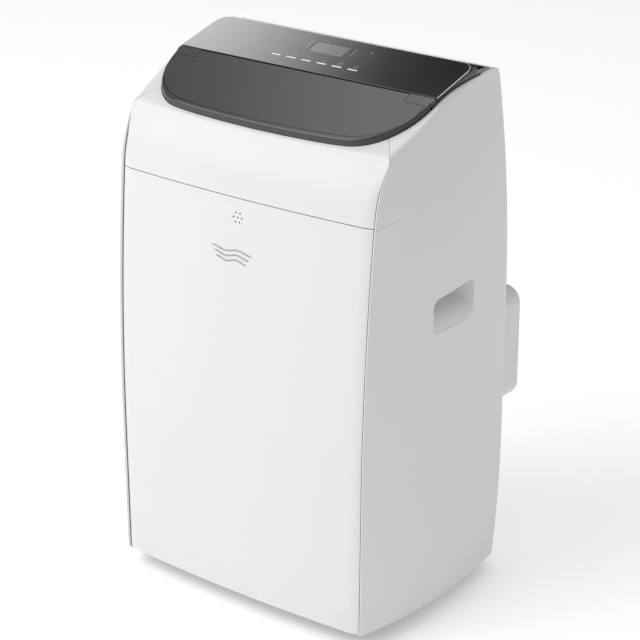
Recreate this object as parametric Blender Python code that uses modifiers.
"""Portable air conditioner: white shells on a wheeled base pan, a black lid with a motor-driven
air outlet flap and a control panel, and the refrigeration and air-moving parts inside.
Metres, +Z up, front towards -Y, origin on the floor under the middle of the object."""

import math

import bmesh
import bpy
from mathutils import Matrix, Vector

# Driving dimensions of the casing.
BODY_BOTTOM = 0.020
BODY_TOP = 0.695
WALL = 0.0028
GAP = 0.0004
HALF_WIDTH = 0.217
WIDEST_Y = -0.030
FRONT_Y = -0.1695
FRONT_BOW = 0.008
REAR_Y = 0.1295
REAR_CORNER = 0.022
SEAM_Z = 0.5475
REAR_SEAM_Z = 0.385
REAR_SEAM_X = 0.168

# Driving dimensions of the lid.
HINGE_EDGE_Y = -0.036
LID_Z = 0.677
LID_SLOPE = math.tan(math.radians(25))
PANEL_SLOPE = math.tan(math.radians(15.5))
PANEL_FRONT_Y = -0.034
PANEL_REAR_Y = 0.047
PANEL_HALF_WIDTH = 0.197
PANEL_THICKNESS = 0.0028
BEZEL_HALF_WIDTH = 0.1965
BEZEL_FRONT_Y = -0.128
BEZEL_REAR_Y = 0.0865
FLAP_HINGE_Y = -0.0435
FLAP_HINGE_Z = 0.6660
FLAP_THICKNESS = 0.0035

# Driving dimensions of the machinery.
EVAPORATOR_FAN = (-0.062, 0.487)
CONDENSER_FAN = (0.055, 0.158)
FAN_RADIUS = 0.056
SCROLL_START = 0.064
COMPRESSOR_AT = (-0.095, -0.045)
EXHAUST_AT = (0.093, 0.300)
EXHAUST_RADIUS = 0.0625
THROAT_FRONT_Y = -0.1120
THROAT_REAR_Y = -0.0580
THROAT_TOP = 0.6280
DUCT_BOTTOM = 0.5605
DUCT_WALL = 0.0020
VANE_PIVOT_Z = 0.613
VANE_PITCH = 0.050
VANE_CRANK = 0.018
VANE_HALF_THICKNESS = 0.0008
DOOR_LOW = (-0.1605, 0.4080)
DOOR_HIGH = (0.1605, 0.6120)
GRILLE_LOW = (-0.1605, 0.0655)
GRILLE_HIGH = (0.1605, 0.2045)
BLOWER_WALL = 0.0020
FAN_CLEARANCE = 0.004
FAN_BLADES = 12
CASTER_X = 0.157
CASTER_FRONT_Y = -0.122
CASTER_REAR_Y = 0.084
CASTER_TRAIL = 0.010
CASTER_RADIUS = 0.018

for old in list(bpy.data.objects):
    bpy.data.objects.remove(old, do_unlink=True)
scene = bpy.context.scene
parts = bpy.data.collections.new("portable_air_conditioner")
scene.collection.children.link(parts)

FINISHES = {
    "white_plastic": ((0.83, 0.83, 0.83), 0.38, 0.0),
    "black_plastic": ((0.012, 0.012, 0.013), 0.30, 0.0),
    "panel_gloss": ((0.02, 0.02, 0.022), 0.08, 0.0),
    "window_grey": ((0.16, 0.16, 0.165), 0.12, 0.0),
    "inner_plastic": ((0.10, 0.10, 0.105), 0.55, 0.0),
    "insulation_foam": ((0.80, 0.80, 0.78), 0.80, 0.0),
    "galvanised_steel": ((0.55, 0.56, 0.57), 0.42, 1.0),
    "black_enamel": ((0.02, 0.02, 0.02), 0.40, 0.4),
    "aluminium_fins": ((0.75, 0.76, 0.77), 0.35, 1.0),
    "copper": ((0.72, 0.38, 0.25), 0.30, 1.0),
    "rubber": ((0.03, 0.03, 0.03), 0.75, 0.0),
    "caster_plastic": ((0.025, 0.025, 0.025), 0.50, 0.0),
    "axle_steel": ((0.60, 0.60, 0.62), 0.25, 1.0),
    "filter_mesh": ((0.14, 0.15, 0.17), 0.65, 0.0),
    "board_green": ((0.02, 0.16, 0.07), 0.45, 0.0),
}


def make_material(name):
    color, roughness, metallic = FINISHES[name]
    material = bpy.data.materials.new(name)
    material.use_nodes = True
    shader = material.node_tree.nodes["Principled BSDF"]
    shader.inputs["Base Color"].default_value = (*color, 1)
    shader.inputs["Roughness"].default_value = roughness
    shader.inputs["Metallic"].default_value = metallic
    material.diffuse_color = (*color, 1)
    return material


materials = {name: make_material(name) for name in FINISHES}


# Modelling helpers. Each makes a plain mesh object that is not yet in a collection of parts.


def from_bmesh(bm):
    mesh = bpy.data.meshes.new("solid")
    bm.to_mesh(mesh)
    bm.free()
    solid = bpy.data.objects.new("solid", mesh)
    scene.collection.objects.link(solid)
    return solid


def box(low, high):
    """A block between two corners."""
    bm = bmesh.new()
    bmesh.ops.create_cube(bm, size=1)
    size = Vector(high) - Vector(low)
    middle = (Vector(high) + Vector(low)) / 2
    bmesh.ops.scale(bm, vec=size, verts=bm.verts)
    bmesh.ops.translate(bm, vec=middle, verts=bm.verts)
    return from_bmesh(bm)


def cylinder(start, end, radius, segments=24, end_radius=None):
    """A round bar or a cone between two points."""
    start, end = Vector(start), Vector(end)
    along = end - start
    turn = along.to_track_quat("Z", "Y").to_matrix().to_4x4()
    bm = bmesh.new()
    bmesh.ops.create_cone(
        bm, cap_ends=True, segments=segments, radius1=radius,
        radius2=radius if end_radius is None else end_radius, depth=along.length,
        matrix=Matrix.Translation((start + end) / 2) @ turn,
    )
    return from_bmesh(bm)


def prism(outline, thickness, place):
    """A flat outline in its own XY plane, given a thickness both ways from it, then placed."""
    curve = bpy.data.curves.new("outline", "CURVE")
    curve.dimensions = "2D"
    curve.fill_mode = "BOTH"
    curve.extrude = thickness / 2
    spline = curve.splines.new("POLY")
    spline.points.add(len(outline) - 1)
    for point, (x, y) in zip(spline.points, outline):
        point.co = (x, y, 0, 1)
    spline.use_cyclic_u = True
    flat = bpy.data.objects.new("outline", curve)
    scene.collection.objects.link(flat)
    flat.matrix_world = place
    return realised(flat, weld=True)


def loft(rings):
    """A closed solid through rings that have the same number of points."""
    bm = bmesh.new()
    rows = [[bm.verts.new(point) for point in ring] for ring in rings]
    count = len(rows[0])
    for lower, upper in zip(rows, rows[1:]):
        for i in range(count):
            j = (i + 1) % count
            bm.faces.new((lower[i], lower[j], upper[j], upper[i]))
    bm.faces.new(list(reversed(rows[0])))
    bm.faces.new(rows[-1])
    bmesh.ops.recalc_face_normals(bm, faces=bm.faces)
    return from_bmesh(bm)


def turned(profile, centre, direction, steps=24):
    """A profile of (radius, height) points, run from the top down, turned about an axis."""
    bm = bmesh.new()
    chain = [bm.verts.new((radius, 0, height)) for radius, height in profile]
    for upper, lower in zip(chain, chain[1:]):
        bm.edges.new((upper, lower))
    solid = from_bmesh(bm)
    screw = solid.modifiers.new("turn", "SCREW")
    screw.steps = screw.render_steps = steps
    screw.use_merge_vertices = True
    screw.merge_threshold = 0.00001
    turn = Vector(direction).to_track_quat("Z", "Y").to_matrix().to_4x4()
    solid.matrix_world = Matrix.Translation(centre) @ turn
    return realised(solid)


def realised(solid, weld=False):
    """The object with its modifiers, curve fill and placing made part of its mesh."""
    bpy.context.view_layer.update()
    graph = bpy.context.evaluated_depsgraph_get()
    evaluated = solid.evaluated_get(graph)
    mesh = bpy.data.meshes.new_from_object(evaluated, depsgraph=graph)
    mesh.transform(solid.matrix_world)
    bpy.data.objects.remove(solid, do_unlink=True)
    bm = bmesh.new()
    bm.from_mesh(mesh)
    bpy.data.meshes.remove(mesh)
    if weld:
        bmesh.ops.remove_doubles(bm, verts=bm.verts, dist=0.000001)
    return from_bmesh(bm)


def combine(solid, operation, others):
    for i, other in enumerate(others):
        step = solid.modifiers.new(f"{operation.lower()}_{i}", "BOOLEAN")
        step.operation = operation
        step.object = other
    solid = realised(solid)
    for other in others:
        bpy.data.objects.remove(other, do_unlink=True)
    return solid


def cut(solid, *others):
    return combine(solid, "DIFFERENCE", others)


def join(solid, *others):
    return combine(solid, "UNION", others)


def common(solid, *others):
    return combine(solid, "INTERSECT", others)


def copied(solid):
    twin = solid.copy()
    twin.data = solid.data.copy()
    scene.collection.objects.link(twin)
    return twin


def part(name, solid, finish, pivot=(0, 0, 0), smooth=30):
    """Names a solid, gives it its material, and puts its origin on its pivot."""
    solid.name = name
    solid.data.name = name
    solid.data.transform(Matrix.Translation(-Vector(pivot)))
    solid.location = pivot
    solid.data.materials.clear()
    solid.data.materials.append(materials[finish])
    solid.data.shade_smooth()
    solid.data.set_sharp_from_angle(angle=math.radians(smooth))
    scene.collection.objects.unlink(solid)
    parts.objects.link(solid)
    return solid


def loose_pieces(solid):
    """The separate bodies of a solid, each as its own object with its middle point."""
    bpy.ops.object.select_all(action="DESELECT")
    solid.select_set(True)
    bpy.context.view_layer.objects.active = solid
    bpy.ops.mesh.separate(type="LOOSE")
    found = []
    for piece in list(bpy.context.selected_objects):
        corners = [Vector(corner) for corner in piece.bound_box]
        found.append((sum(corners, Vector()) / 8, piece))
    return found


def upright(y):
    """Places an XY outline in the XZ plane, in the middle of a thickness about this y."""
    return Matrix.Translation((0, y, 0)) @ Matrix.Rotation(math.radians(90), 4, "X")


def sideways():
    """Places an XY outline in the YZ plane."""
    return Matrix(((0, 0, 1, 0), (1, 0, 0, 0), (0, 1, 0, 0), (0, 0, 0, 1)))


def arc(centre, radius, start, end, steps):
    """Points along a circle's arc, in degrees."""
    points = []
    for i in range(steps + 1):
        angle = math.radians(start + (end - start) * i / steps)
        points.append((centre[0] + radius * math.cos(angle), centre[1] + radius * math.sin(angle)))
    return points


def rounded_rectangle(low, high, radius, steps=4):
    (x0, y0), (x1, y1) = low, high
    return (
        arc((x1 - radius, y1 - radius), radius, 0, 90, steps)
        + arc((x0 + radius, y1 - radius), radius, 90, 180, steps)
        + arc((x0 + radius, y0 + radius), radius, 180, 270, steps)
        + arc((x1 - radius, y0 + radius), radius, 270, 360, steps)
    )


def bezier(p0, p1, p2, p3, steps):
    points = []
    for i in range(steps + 1):
        t = i / steps
        weights = ((1 - t) ** 3, 3 * t * (1 - t) ** 2, 3 * t * t * (1 - t), t**3)
        points.append(tuple(sum(w * p[k] for w, p in zip(weights, (p0, p1, p2, p3))) for k in (0, 1)))
    return points


# The casing's outer form, as functions of height.


def crease_y(z):
    """The front corners lean back a little, then roll over towards the lid."""
    lean = max(0.0, (z - 0.2) / 0.368)
    shoulder = max(0.0, (z - 0.555) / 0.08)
    return FRONT_Y + 0.0195 * lean**2 + 0.026 * shoulder**2


def crease_x(z):
    return 0.1925 + 0.0082 * z


def lean_in(z):
    """How far the sides and the rear stand in from their widest."""
    high = max(0.0, (z - 0.4) / 0.25)
    low = max(0.0, (0.2 - z) / 0.154)
    return 0.011 * high**2 + 0.0044 * low**2


def side_x(y, z):
    widest = HALF_WIDTH - lean_in(z)
    if y > WIDEST_Y:
        return widest - 0.55 * (y - WIDEST_Y) ** 2
    share = (y - WIDEST_Y) / (crease_y(z) - WIDEST_Y)
    return widest - (widest - crease_x(z)) * share**2


def half_outline(z, inset, fillet):
    """The right half of the casing's outline, from the middle of the front to the middle of the rear."""
    off = inset + fillet
    front = crease_y(z) + off
    corner_x = crease_x(z) - off
    points = []
    for i in range(6):
        x = corner_x * i / 5
        points.append((x, front - FRONT_BOW * (1 - (x / corner_x) ** 2)))
    rear = REAR_Y - lean_in(z) - off
    radius = REAR_CORNER - inset
    corner_y = rear - radius
    for i in range(1, 8):
        y = front + (corner_y - front) * i / 7
        points.append((side_x(y, z) - off, y))
    corner_x = side_x(corner_y, z) - off - radius
    points += arc((corner_x, corner_y), radius, 18, 90, 4)
    return points + [(0, rear)]


def casing(inset, bottom):
    """The casing as a solid. Its top is cut off later by the lid's profile."""
    heights = [bottom, BODY_BOTTOM + 0.006, 0.046, 0.11, 0.2, 0.32, 0.42, 0.49, SEAM_Z, 0.58]
    heights += [0.602, 0.622, 0.64, 0.657, 0.675, BODY_TOP]
    rings = []
    for z in heights:
        fillet = 0.004 if z < BODY_BOTTOM + 0.003 and inset == 0 else 0.0
        half = half_outline(z, inset, fillet)
        ring = half + [(-x, y) for x, y in reversed(half[1:-1])]
        rings.append([(x, y, z) for x, y in ring])
    return loft(rings)


def lid_z(y):
    return LID_Z + LID_SLOPE * (y - HINGE_EDGE_Y)


def panel_z(y):
    return LID_Z + 0.0005 + PANEL_SLOPE * (y - PANEL_FRONT_Y)


def rim_profile():
    """The white casing's top edge seen from the side: along the lid, level, then over to the rear."""
    slope_end = (-0.037, 0.6686)
    front = (-0.20, slope_end[1] + LID_SLOPE * (-0.20 - slope_end[0]))
    level = bezier(slope_end, (-0.012, 0.6802), (0.030, 0.6868), (0.086, 0.6868), 7)
    rear = arc((0.086, 0.6548), 0.032, 90, 0, 5)
    return [front] + level + rear[1:]


def above_rim(lowered):
    """Everything above the casing's top edge."""
    rim = rim_profile()
    outline = rim + [(0.150, rim[-1][1] - 0.01), (0.150, 0.74), (-0.20, 0.74)]
    cutter = prism(outline, 0.5, sideways())
    cutter.data.transform(Matrix.Translation((0, 0, -lowered)))
    return cutter


def bezel_outline(grow):
    """The lid's outline in plan: bowed front, wide front corners, small rear corners."""
    half_width = BEZEL_HALF_WIDTH + grow
    front = BEZEL_FRONT_Y - grow
    rear = BEZEL_REAR_Y + grow
    corner = bezier(
        (0.128, front + 0.0055), (0.168, front + 0.0095), (half_width - 0.002, front + 0.045),
        (half_width, front + 0.090), 8,
    )
    right = [(0, front), (0.045, front + 0.0006), (0.090, front + 0.0024)] + corner
    right += arc((half_width - 0.012, rear - 0.012), 0.012, 0, 90, 3)
    return right + [(-x, y) for x, y in reversed(right[1:])]


def flap_outline(grow):
    """The air outlet flap in plan, with its two rear corners left free for the hinge blocks."""
    half_width = BEZEL_HALF_WIDTH - 0.0060 + grow
    front = BEZEL_FRONT_Y + 0.0055 - grow
    block_x = 0.1605 + grow
    block_y = -0.0500 + grow
    rear = HINGE_EDGE_Y - 0.0010 + grow
    corner = bezier(
        (0.126, front + 0.0050), (0.162, front + 0.0085), (half_width - 0.001, front + 0.038),
        (half_width, front + 0.062), 8,
    )
    right = [(0, front), (0.045, front + 0.0006), (0.090, front + 0.0024)] + corner
    right += [(half_width, block_y), (block_x, block_y), (block_x, rear)]
    return right + [(-x, y) for x, y in reversed(right[1:])]


# The white casing, cut into its shells.


def make_shells():
    outer = cut(casing(0, BODY_BOTTOM), above_rim(0))
    inner = cut(casing(WALL, BODY_BOTTOM - 0.01), above_rim(WALL))
    shell = cut(copied(outer), inner)
    shell = join(shell, common(handle_blocks(), outer))
    shell = cut(shell, handle_hollows())
    flat = Matrix.Translation((0, 0, 0.68))
    exhaust_x, exhaust_z = EXHAUST_AT
    shell = cut(
        shell,
        prism(bezel_outline(0.0007), 0.2, flat),
        prism(rounded_rectangle(DOOR_LOW, DOOR_HIGH, 0.0055), 0.06, upright(0.125)),
        prism(rounded_rectangle(GRILLE_LOW, GRILLE_HIGH, 0.008), 0.06, upright(0.125)),
        cylinder((exhaust_x, 0.10, exhaust_z), (exhaust_x, 0.15, exhaust_z), 0.0660, 32),
        cylinder((-0.06, 0.10, 0.352), (-0.06, 0.15, 0.352), 0.0078, 16),
        cylinder((0, 0.10, 0.042), (0, 0.15, 0.042), 0.0078, 16),
        cylinder((-0.12, 0.10, 0.30), (-0.12, 0.15, 0.30), 0.0093, 16),
    )
    shell = cut(shell, *[crease_slit(side) for side in (-1, 1)])
    edge = crease_x(SEAM_Z)
    seam_depth = crease_y(SEAM_Z) + 0.004
    shell = cut(shell, box((-edge, -0.2, SEAM_Z - GAP), (edge, seam_depth, SEAM_Z + GAP)))
    for side in (-1, 1):
        x = side * REAR_SEAM_X
        shell = cut(shell, box((x - GAP, 0.075, 0), (x + GAP, 0.15, 0.75)))
    low, high = (-REAR_SEAM_X, 0.09, REAR_SEAM_Z - GAP), (REAR_SEAM_X, 0.15, REAR_SEAM_Z + GAP)
    shell = cut(shell, box(low, high))
    for middle, piece in loose_pieces(shell):
        part(shell_name(middle), piece, "white_plastic")


def shell_name(middle):
    if abs(middle.x) > 0.1:
        return "right_side_shell" if middle.x > 0 else "left_side_shell"
    if middle.y > 0:
        return "rear_upper_panel" if middle.z > REAR_SEAM_Z else "rear_lower_panel"
    return "front_upper_cover" if middle.z > SEAM_Z else "front_panel"


def handle_blocks():
    """The walls of the two hand recesses, one block on each side."""
    right = box((0.1795, -0.0645, 0.3850), (0.30, 0.0305, 0.4450))
    return join(right, box((-0.30, -0.0645, 0.3850), (-0.1795, 0.0305, 0.4450)))


def handle_hollows():
    """The hand recesses: a level roof, a flat back, and a floor that ramps out to the side."""
    outline = [(0.25, 0.4410), (0.1825, 0.4410), (0.1825, 0.4230), (0.2130, 0.3925), (0.25, 0.3555)]
    mirrored = [(-x, z) for x, z in reversed(outline)]
    right = prism(outline, 0.088, upright(-0.017))
    return join(right, prism(mirrored, 0.088, upright(-0.017)))


def crease_slit(side):
    """A thin slanting cut that follows the front corner from the floor to the lid."""
    rings = []
    for z in (0.0, 0.1, 0.2, 0.3, 0.4, 0.48, SEAM_Z, 0.58, 0.602, 0.622, 0.64, 0.657, 0.675, 0.70):
        x, y = crease_x(z), crease_y(z)
        corners = ((0.003, -0.003 - GAP), (0.003 + GAP, -0.003), (GAP - 0.045, 0.045), (-0.045, 0.045 - GAP))
        rings.append([(side * (x + dx), y + dy, z) for dx, dy in corners])
    return loft(rings)


# The black lid.


def lid_band(top_drop, bottom_drop):
    """A slab under the lid's two slopes, between two depths."""
    panel_end = PANEL_REAR_Y + 0.0015
    under_panel = PANEL_THICKNESS + GAP
    line = [
        (BEZEL_FRONT_Y - 0.02, lid_z(BEZEL_FRONT_Y - 0.02)),
        (HINGE_EDGE_Y, lid_z(HINGE_EDGE_Y)),
        (HINGE_EDGE_Y + 0.0001, panel_z(HINGE_EDGE_Y) - under_panel),
        (panel_end, panel_z(panel_end) - under_panel),
        (panel_end + 0.0001, 0.6885),
        (BEZEL_REAR_Y + 0.02, 0.6865),
    ]
    upper = [(y, z - top_drop) for y, z in line]
    lower = [(y, z - bottom_drop) for y, z in reversed(line)]
    return prism(upper + lower, 0.6, sideways())


def make_bezel():
    place = Matrix.Translation((0, 0, 0.67))
    bezel = common(prism(bezel_outline(0), 0.2, place), lid_band(0, 0.014))
    bezel = cut(bezel, common(prism(bezel_outline(-0.0025), 0.2, place), lid_band(0.0025, 0.05)))
    bezel = cut(bezel, prism(flap_outline(0.0007), 0.2, place))
    # Space under the panel's front edge for the flap's heel as it swings down.
    bezel = cut(bezel, box((-0.1610, -0.040, 0.60), (0.1610, -0.0298, 0.75)))
    tray = cut(
        box((-0.1890, PANEL_REAR_Y + 0.0005, 0.6480), (0.1890, BEZEL_REAR_Y - 0.0005, 0.6840)),
        box((-0.1865, PANEL_REAR_Y + 0.0030, 0.6505), (0.1865, BEZEL_REAR_Y - 0.0030, 0.75)),
    )
    mouth = box((-0.1866, PANEL_REAR_Y + 0.0030, 0.6505), (0.1866, BEZEL_REAR_Y - 0.0030, 0.75))
    bezel = cut(join(bezel, tray), mouth)
    blocks = []
    for side in (-1, 1):
        x0, x1 = sorted((side * 0.1614, side * 0.1745))
        block = box((x0, -0.0492, 0.6580), (x1, HINGE_EDGE_Y - 0.0005, lid_z(-0.0492) - 0.001))
        blocks.append(block)
    bezel = join(bezel, *blocks)
    bezel = cut(
        bezel,
        cylinder((-0.2, FLAP_HINGE_Y, FLAP_HINGE_Z), (0.2, FLAP_HINGE_Y, FLAP_HINGE_Z), 0.0027, 16),
        box((-0.062, -0.020, 0.60), (0.062, 0.036, 0.75)),
    )
    part("top_bezel", bezel, "black_plastic")


def panel_place(drop):
    """The plane of the control panel, with its local origin in the middle of its front edge."""
    tilt = Matrix.Rotation(math.atan(PANEL_SLOPE), 4, "X")
    at = Vector((0, PANEL_FRONT_Y, panel_z(PANEL_FRONT_Y)))
    return Matrix.Translation(at) @ tilt @ Matrix.Translation((0, 0, -drop))


def make_panel():
    length = (PANEL_REAR_Y - PANEL_FRONT_Y) / math.cos(math.atan(PANEL_SLOPE))
    radius = 0.018
    right = [(PANEL_HALF_WIDTH, 0)]
    right += arc((PANEL_HALF_WIDTH - 0.001 - radius, length - radius), radius, 0, 90, 6)
    outline = right + [(-x, y) for x, y in reversed(right)]
    window = rounded_rectangle((-0.0275, 0.0435), (0.0240, 0.0665), 0.001, 2)
    plate = prism(outline, PANEL_THICKNESS, panel_place(PANEL_THICKNESS / 2))
    plate = cut(plate, prism(window, 0.02, panel_place(0)))
    part("control_panel", plate, "panel_gloss")
    lens = rounded_rectangle((-0.0272, 0.0438), (0.0237, 0.0662), 0.0007, 2)
    part("display_window", prism(lens, 0.0020, panel_place(0.0011)), "window_grey")
    board = rounded_rectangle((-0.058, 0.018), (0.058, 0.070), 0.001, 1)
    part("display_board", prism(board, 0.0016, panel_place(0.0050)), "board_green")


def make_flap():
    place = Matrix.Translation((0, 0, 0.66))
    flap = common(prism(flap_outline(0), 0.2, place), flap_band())
    heel = cylinder(
        (-0.1603, FLAP_HINGE_Y, FLAP_HINGE_Z), (0.1603, FLAP_HINGE_Y, FLAP_HINGE_Z), 0.0048, 16
    )
    web = box((-0.1603, FLAP_HINGE_Y - 0.0020, FLAP_HINGE_Z), (0.1603, FLAP_HINGE_Y + 0.0020, 0.6710))
    flap = join(flap, heel, web)
    bores = []
    for side in (-1, 1):
        start, end = (side * 0.1480, FLAP_HINGE_Y, FLAP_HINGE_Z), (side * 0.2, FLAP_HINGE_Y, FLAP_HINGE_Z)
        bores.append(cylinder(start, end, 0.0026, 16))
    flap = cut(flap, *bores, wing_undercut(-1), wing_undercut(1))
    hinge = (0, FLAP_HINGE_Y, FLAP_HINGE_Z)
    part("air_flap", flap, "black_plastic", hinge)
    for side, name in ((-1, "flap_pin_left"), (1, "flap_pin_right")):
        start, end = (side * 0.1485, FLAP_HINGE_Y, FLAP_HINGE_Z), (side * 0.1760, FLAP_HINGE_Y, FLAP_HINGE_Z)
        pin = cylinder(start, end, 0.0022, 16)
        part(name, pin, "axle_steel", hinge)
    motor = cylinder((0.1765, FLAP_HINGE_Y, 0.6545), (0.1905, FLAP_HINGE_Y, 0.6545), 0.0112, 20)
    part("flap_motor", motor, "galvanised_steel")


def wing_undercut(side):
    """Cuts a wing's rear face back underneath, so that it lifts clear of its hinge block."""
    y, z = -0.0500, lid_z(-0.0500)
    wedge = [(y + 0.0005, z - 0.0002), (y + 0.0005, z - 0.0100), (y - 0.0100, z - 0.0107)]
    cutter = prism(wedge, 0.0330, sideways())
    cutter.data.transform(Matrix.Translation((side * 0.1775, 0, 0)))
    return cutter


def flap_band():
    front, rear = BEZEL_FRONT_Y - 0.02, 0.0
    upper = [(front, lid_z(front)), (rear, lid_z(rear))]
    lower = [(y, z - FLAP_THICKNESS) for y, z in reversed(upper)]
    return prism(upper + lower, 0.6, sideways())


# The air outlet: duct, swing vanes and the bar that links them.


def duct_form(inset, bottom, top):
    scroll_right = EVAPORATOR_FAN[0] + 0.092
    scroll_left = EVAPORATOR_FAN[0] + SCROLL_START / 2
    sections = (
        (bottom, scroll_left, scroll_right, -0.0930, -0.0170),
        (0.600, -0.150, 0.150, THROAT_FRONT_Y, THROAT_REAR_Y),
        (top, -0.150, 0.150, THROAT_FRONT_Y, THROAT_REAR_Y),
    )
    rings = []
    for z, x0, x1, y0, y1 in sections:
        x0, x1, y0, y1 = x0 + inset, x1 - inset, y0 + inset, y1 - inset
        rings.append([(x0, y0, z), (x1, y0, z), (x1, y1, z), (x0, y1, z)])
    return loft(rings)


def make_outlet():
    duct = duct_form(0, DUCT_BOTTOM, THROAT_TOP)
    duct = cut(duct, duct_form(DUCT_WALL, DUCT_BOTTOM - 0.001, THROAT_TOP + 0.001))
    front, rear = THROAT_FRONT_Y, THROAT_REAR_Y
    places = [(i - 2) * VANE_PITCH for i in range(5)]
    low = VANE_PIVOT_Z - VANE_CRANK
    duct = cut(duct, *[
        cylinder((x, front - 0.01, VANE_PIVOT_Z), (x, rear + 0.01, VANE_PIVOT_Z), 0.0024, 12) for x in places
    ])
    part("outlet_duct", duct, "insulation_foam")
    for i, x in enumerate(places):
        x0, x1 = x - VANE_HALF_THICKNESS, x + VANE_HALF_THICKNESS
        blade = box((x0, front + 0.0035, VANE_PIVOT_Z - 0.012), (x1, rear - 0.0100, VANE_PIVOT_Z + 0.0135))
        arm = box((x0, rear - 0.0130, VANE_PIVOT_Z - 0.019), (x1, rear - 0.0095, VANE_PIVOT_Z))
        shaft = cylinder((x, front + 0.0006, VANE_PIVOT_Z), (x, rear - 0.0006, VANE_PIVOT_Z), 0.0018, 12)
        peg = cylinder((x, rear - 0.0125, low), (x, rear - 0.0035, low), 0.0018, 12)
        part(f"swing_vane_{i + 1}", join(blade, arm, shaft, peg), "inner_plastic", (x, 0, VANE_PIVOT_Z))
    reach = places[-1] + 0.0055
    link = box((-reach, rear - 0.0080, low - 0.0045), (reach, rear - 0.0045, low + 0.0050))
    for x in places:
        link = cut(link, box((x - 0.0023, rear - 0.02, low - 0.0025), (x + 0.0023, rear, low + 0.02)))
    part("vane_link", link, "inner_plastic")


# The rear: intake door with its filter, lower grille, exhaust housing, drains and mains lead gland.


def slotted(plate, low, high, columns, rows, bar, depth):
    """Cuts a grid of slots through an upright plate, with this much material between them."""
    (x0, z0), (x1, z1) = low, high
    step_x = (x1 - x0 + bar) / columns
    step_z = (z1 - z0 + bar) / rows
    slots = []
    for column in range(columns):
        for row in range(rows):
            x, z = x0 + column * step_x, z0 + row * step_z
            slots.append(box((x, depth[0], z), (x + step_x - bar, depth[1], z + step_z - bar)))
    return cut(plate, *slots)


def make_rear():
    lean = Matrix.Translation((0, 0.1262, 0.41)) @ Matrix.Rotation(math.radians(2.1), 4, "X")
    door = prism(rounded_rectangle((-0.1598, -0.0013), (0.1598, 0.2012), 0.0090), 0.0040, upright(0))
    door = slotted(door, (-0.1480, 0.012), (0.1480, 0.188), 2, 13, 0.006, (-0.02, 0.02))
    door.data.transform(lean @ Matrix.Translation((0, -0.0010, 0)))
    part("filter_door", door, "white_plastic", (0, 0.1252, 0.4110))
    frame = box((-0.1540, 0.1060, 0.4150), (0.1540, 0.1110, 0.6050))
    frame = slotted(frame, (-0.1480, 0.421), (0.1480, 0.599), 5, 4, 0.004, (0.10, 0.12))
    part("filter_frame", frame, "filter_mesh")
    grille = prism(rounded_rectangle((-0.1598, 0.0662), (0.1598, 0.2038), 0.0075), 0.0040, upright(0.1240))
    grille = slotted(grille, (-0.1480, 0.077), (0.1480, 0.193), 2, 9, 0.006, (0.11, 0.14))
    part("condenser_grille", grille, "white_plastic")
    make_exhaust()
    for name, x, z in (("drain_plug_upper", -0.06, 0.352), ("drain_plug_lower", 0.0, 0.042)):
        y = REAR_Y - lean_in(z)
        profile = ((0, 0.0075), (0.0100, 0.0075), (0.0118, 0.0060), (0.0118, 0.0006), (0.0072, 0.0006))
        profile += ((0.0066, -0.0120), (0, -0.0120))
        part(name, turned(profile, (x, y, z), (0, 1, 0), 20), "rubber", (x, y, z))
    gland = ((0.0038, 0.0200), (0.0060, 0.0200), (0.0082, 0.0040), (0.0130, 0.0040), (0.0130, 0.0006))
    gland += ((0.0088, 0.0006), (0.0088, -0.0080), (0.0038, -0.0080), (0.0038, 0.0200))
    y = REAR_Y - lean_in(0.30)
    part("power_cord_gland", turned(gland, (-0.12, y, 0.30), (0, 1, 0), 20), "rubber")


def make_exhaust():
    """The box that stands out of the rear and takes the hose, hollow towards the machine."""
    x, z = EXHAUST_AT
    low, high = (x - 0.0965, z - 0.0765), (x + 0.0965, z + 0.0765)
    front, rear = REAR_Y + GAP, 0.1775
    depth = rear - front
    middle = (front + rear) / 2
    form = prism(rounded_rectangle(low, high, 0.022, 5), depth, upright(middle))
    inner_low = (low[0] + WALL, low[1] + WALL)
    inner_high = (high[0] - WALL, high[1] - WALL)
    hollow = prism(rounded_rectangle(inner_low, inner_high, 0.0195, 5), depth, upright(middle - WALL))
    collar = cylinder((x, front + 0.002, z), (x, rear - 0.001, z), EXHAUST_RADIUS + 0.0025, 40)
    form = join(cut(form, hollow), collar)
    form = cut(form, cylinder((x, front - 0.02, z), (x, rear + 0.02, z), EXHAUST_RADIUS, 40))
    part("exhaust_housing", form, "white_plastic")
    guard = cylinder((x, 0.1225, z), (x, 0.1262, z), 0.0640, 24)
    guard = cut(guard, cylinder((x, 0.11, z), (x, 0.14, z), 0.0590, 24))
    half, reach = 0.0012, 0.0615
    bars = []
    for i in range(-2, 3):
        bar_z = z + i * 0.020
        bars.append(box((x - reach, 0.1232, bar_z - half), (x + reach, 0.1257, bar_z + half)))
    upright_bar = box((x - half, 0.1232, z - reach), (x + half, 0.1257, z + reach))
    limit = cylinder((x, 0.1, z), (x, 0.15, z), 0.0620, 24)
    part("exhaust_guard", join(guard, common(join(upright_bar, *bars), limit)), "inner_plastic")


# The base, the partition and the casters.


def flat_outline(z, inset):
    half = half_outline(z, inset, 0)
    return half + [(-x, y) for x, y in reversed(half[1:-1])]


def caster_places():
    for name, side, y in (
        ("front_right", 1, CASTER_FRONT_Y), ("front_left", -1, CASTER_FRONT_Y),
        ("rear_right", 1, CASTER_REAR_Y), ("rear_left", -1, CASTER_REAR_Y),
    ):
        yield name, side, y


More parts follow.
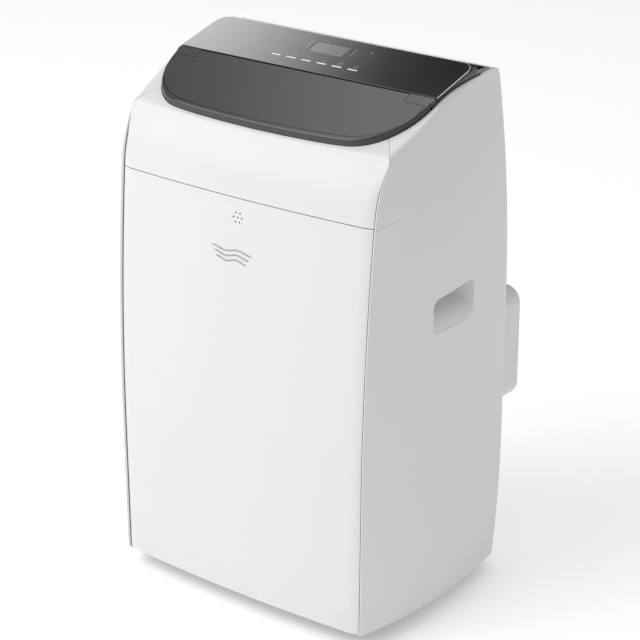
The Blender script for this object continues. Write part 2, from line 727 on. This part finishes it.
def make_base():
    pan = prism(flat_outline(0.024, WALL + 0.0012), 0.0320, Matrix.Translation((0, 0, 0.0400)))
    basin = prism(flat_outline(0.024, WALL + 0.0052), 0.02, Matrix.Translation((0, 0, 0.0605)))
    cutters = [basin]
    for _, side, y in caster_places():
        x = side * CASTER_X
        cutters.append(cylinder((x, y, 0), (x, y, 0.0435), 0.0315, 24))
        cutters.append(cylinder((x, y, 0), (x, y, 0.0487), 0.0045, 16))
    cutters.append(cylinder((0, 0.105, 0.042), (0, 0.15, 0.042), 0.0082, 16))
    part("base_pan", cut(pan, *cutters), "inner_plastic")
    floor = prism(flat_outline(0.373, WALL + 0.0012), 0.014, Matrix.Translation((0, 0, 0.373)))
    basin = prism(flat_outline(0.373, WALL + 0.0045), 0.02, Matrix.Translation((0, 0, 0.3860)))
    pipe_way = box((-0.166, 0.050, 0.30), (-0.134, 0.078, 0.45))
    part("drain_partition", cut(floor, basin, pipe_way), "insulation_foam")


def make_casters():
    for name, side, y in caster_places():
        x = side * CASTER_X
        axle_x = x + side * CASTER_TRAIL
        axle = (axle_x, y, CASTER_RADIUS)
        low_x, high_x = sorted((x - side * 0.0100, axle_x + side * 0.0100))
        fork = box((low_x, y - 0.0115, 0.0375), (high_x, y + 0.0115, 0.0410))
        arms = []
        for edge in (-1, 1):
            y0, y1 = sorted((y + edge * 0.0090, y + edge * 0.0115))
            arms.append(box((axle_x - 0.0065, y0, 0.0125), (axle_x + 0.0065, y1, 0.0380)))
        stem = cylinder((x, y, 0.0400), (x, y, 0.0480), 0.0040, 16)
        fork = join(fork, *arms, stem)
        bore = cylinder((axle_x, y - 0.02, CASTER_RADIUS), (axle_x, y + 0.02, CASTER_RADIUS), 0.0028, 16)
        fork = cut(fork, bore)
        part(f"caster_fork_{name}", fork, "caster_plastic", (x, y, CASTER_RADIUS))
        rim = ((0.0028, 0.0075), (0.0162, 0.0075), (CASTER_RADIUS, 0.0057), (CASTER_RADIUS, -0.0057))
        rim += ((0.0162, -0.0075), (0.0028, -0.0075), (0.0028, 0.0075))
        part(f"caster_wheel_{name}", turned(rim, axle, (0, 1, 0), 20), "caster_plastic", axle)
        pin = cylinder((axle_x, y - 0.0125, CASTER_RADIUS), (axle_x, y + 0.0125, CASTER_RADIUS), 0.0024, 16)
        part(f"caster_axle_{name}", pin, "axle_steel", axle)


# The refrigeration circuit.


def make_compressor():
    x, y = COMPRESSOR_AT
    profile = [(0, 0.245)]
    for degrees in (30, 60, 90):
        angle = math.radians(degrees)
        profile.append((0.052 * math.sin(angle), 0.221 + 0.024 * math.cos(angle)))
    profile += [(0.052, 0.0790), (0.068, 0.0790), (0.068, 0.0757), (0, 0.0757)]
    part("compressor", turned(profile, (x, y, 0), (0, 0, 1), 20), "black_enamel")
    for i in range(3):
        angle = math.radians(90 + 120 * i)
        foot_x, foot_y = x + 0.059 * math.cos(angle), y + 0.059 * math.sin(angle)
        foot = ((0, 0.0753), (0.0080, 0.0753), (0.0065, 0.0630), (0.0092, 0.0509), (0, 0.0509))
        part(f"compressor_mount_{i + 1}", turned(foot, (foot_x, foot_y, 0), (0, 0, 1), 12), "rubber")
    tank_x = x - 0.073
    tank = ((0, 0.2220), (0.0120, 0.2220), (0.0180, 0.2140), (0.0180, 0.1180), (0.0120, 0.1100), (0, 0.1100))
    part("accumulator", turned(tank, (tank_x, y, 0), (0, 0, 1), 14), "black_enamel")
    coil("condenser_coil", (-0.160, 0.0850, 0.0600), (0.160, 0.1120, 0.2150), 9)
    coil("evaporator_coil", (-0.150, 0.0780, 0.4050), (0.150, 0.1030, 0.6150), 12)
    pipe("discharge_pipe", 0.0040, [
        (x, y, 0.2453), (x, y, 0.262), (x - 0.006, y + 0.012, 0.272), (x - 0.035, y + 0.080, 0.275),
        (-0.145, 0.080, 0.268), (-0.150, 0.095, 0.250), (-0.150, 0.097, 0.2156),
    ])
    pipe("suction_pipe", 0.0048, [
        (tank_x, y, 0.2223), (tank_x, y, 0.300), (tank_x + 0.004, y + 0.030, 0.330),
        (-0.152, 0.060, 0.345), (-0.150, 0.064, 0.360), (-0.150, 0.064, 0.405),
        (-0.150, 0.0660, 0.4150), (-0.150, 0.0760, 0.4180),
    ])


def coil(name, low, high, fins):
    """A finned block: the fins are deep grooves in its front and rear, between two end plates."""
    block = box(low, high)
    grooves = []
    step = (high[2] - low[2]) / fins
    for i in range(fins):
        z = low[2] + step * (i + 0.5)
        for y0, y1 in ((low[1] - 0.01, low[1] + 0.006), (high[1] - 0.006, high[1] + 0.01)):
            grooves.append(box((low[0] + 0.004, y0, z - 0.002), (high[0] - 0.004, y1, z + 0.002)))
    part(name, cut(block, *grooves), "aluminium_fins")


def pipe(name, radius, route):
    """A bent tube: a smooth curve through its route, with filled ends."""
    curve = bpy.data.curves.new(name, "CURVE")
    curve.dimensions = "3D"
    curve.bevel_depth = radius
    curve.bevel_resolution = 2
    curve.use_fill_caps = True
    spline = curve.splines.new("POLY")
    spline.points.add(len(route) - 1)
    for point, place in zip(spline.points, route):
        point.co = (*place, 1)
    run = bpy.data.objects.new(name, curve)
    scene.collection.objects.link(run)
    part(name, realised(run, weld=True), "copper")


# The two blowers.


def scroll_outline(at, start, end, outlet_top, outlet):
    """A volute seen from the front: it grows anticlockwise and blows upwards at its right."""
    cx, cz = at
    points = []
    for i in range(13):
        share = i / 12
        angle = math.radians(60 + 300 * share)
        radius = start + (end - start) * share
        points.append((cx + radius * math.cos(angle), cz + radius * math.sin(angle)))
    return points + outlet(cx, cz, start, end, outlet_top)


def straight_outlet(cx, cz, start, end, top):
    return [(cx + end, top), (cx + start / 2, top)]


def plenum_outlet(cx, cz, start, end, top):
    """The condenser's outlet widens into a box in front of the exhaust port."""
    low, left, right = 0.2380, EXHAUST_AT[0] - 0.060, EXHAUST_AT[0] + 0.060
    return [(cx + end, low), (right, low + 0.004), (right, top), (left, top), (left, low)]


def make_blower(name, at, front, rear, end_radius, top, outlet, extra=None):
    cx, cz = at
    wall = BLOWER_WALL
    middle = upright((front + rear) / 2)
    outer = prism(scroll_outline(at, SCROLL_START, end_radius, top, outlet), rear - front, middle)
    inner = scroll_outline(at, SCROLL_START - wall, end_radius - wall, top, outlet)
    inner_solid = prism(inner, rear - front - 2 * wall, middle)
    if extra:
        outer, inner_solid = extra(outer, inner_solid, rear, wall)
    else:
        inner_solid.data.transform(Matrix.Translation((0, 0, wall)))
        low, high = (cx - 0.2, -0.2, cz - end_radius - 0.001), (cx + end_radius - wall, 0.2, top + 0.01)
        inner_solid = common(inner_solid, box(low, high))
    scroll = cut(
        outer, inner_solid,
        cylinder((cx, rear - 0.01, cz), (cx, rear + 0.01, cz), 0.047, 28),
        cylinder((cx, front - 0.01, cz), (cx, front + 0.01, cz), 0.006, 16),
    )
    part(f"{name}_scroll", scroll, "insulation_foam")
    make_wheel(f"{name}_fan", at, front + wall + FAN_CLEARANCE, rear - wall - FAN_CLEARANCE, front)
    motor = ((0.0060, 0.0004), (0.0380, 0.0004), (0.0420, 0.0045), (0.0420, 0.0320), (0.0360, 0.0400))
    motor += ((0, 0.0400), (0, 0.0130), (0.0060, 0.0130), (0.0060, 0.0004))
    part(f"{name}_motor", turned(list(reversed(motor)), (cx, front, cz), (0, -1, 0), 18), "galvanised_steel")


def make_wheel(name, at, front, rear, wall_front):
    """A squirrel-cage wheel: a back disc with its shaft, blades, and a front ring."""
    cx, cz = at
    disc = cylinder((cx, front, cz), (cx, front + 0.0025, cz), FAN_RADIUS, 24)
    ring = cut(
        cylinder((cx, rear - 0.0040, cz), (cx, rear, cz), FAN_RADIUS, 24),
        cylinder((cx, rear - 0.01, cz), (cx, rear + 0.01, cz), FAN_RADIUS - 0.009, 24),
    )
    blades = []
    blade_in, blade_out = FAN_RADIUS - 0.0083, FAN_RADIUS - 0.0012
    for i in range(FAN_BLADES):
        blade = box((blade_in, front + 0.001, -0.0008), (blade_out, rear - 0.001, 0.0008))
        spin = Matrix.Rotation(2 * math.pi * i / FAN_BLADES, 4, "Y")
        blade.data.transform(Matrix.Translation((cx, 0, cz)) @ spin)
        blades.append(blade)
    shaft = cylinder((cx, wall_front - 0.0120, cz), (cx, front + 0.0120, cz), 0.0040, 16)
    part(name, join(disc, ring, shaft, *blades), "inner_plastic", (cx, (front + rear) / 2, cz))


def exhaust_neck(outer, inner, rear, wall):
    """A round neck from the plenum back to the exhaust port."""
    x, z = EXHAUST_AT
    outer = join(outer, cylinder((x, rear - 0.004, z), (x, 0.1218, z), 0.0575, 32))
    inner = join(inner, cylinder((x, rear - 0.010, z), (x, 0.14, z), 0.0550, 32))
    return outer, inner


def make_machinery():
    make_compressor()
    make_blower("evaporator", EVAPORATOR_FAN, -0.0950, -0.0150, 0.092, 0.5600, straight_outlet)
    make_blower("condenser", CONDENSER_FAN, -0.0450, 0.0400, 0.092, 0.3600, plenum_outlet, exhaust_neck)
    control = cut(
        box((0.0450, -0.1000, 0.4000), (0.1650, -0.0050, 0.5400)),
        box((0.0470, -0.1100, 0.4020), (0.1630, -0.0070, 0.5380)),
    )
    part("control_box", control, "galvanised_steel")


make_shells()
make_bezel()
make_panel()
make_flap()
make_outlet()
make_rear()
make_base()
make_casters()
make_machinery()
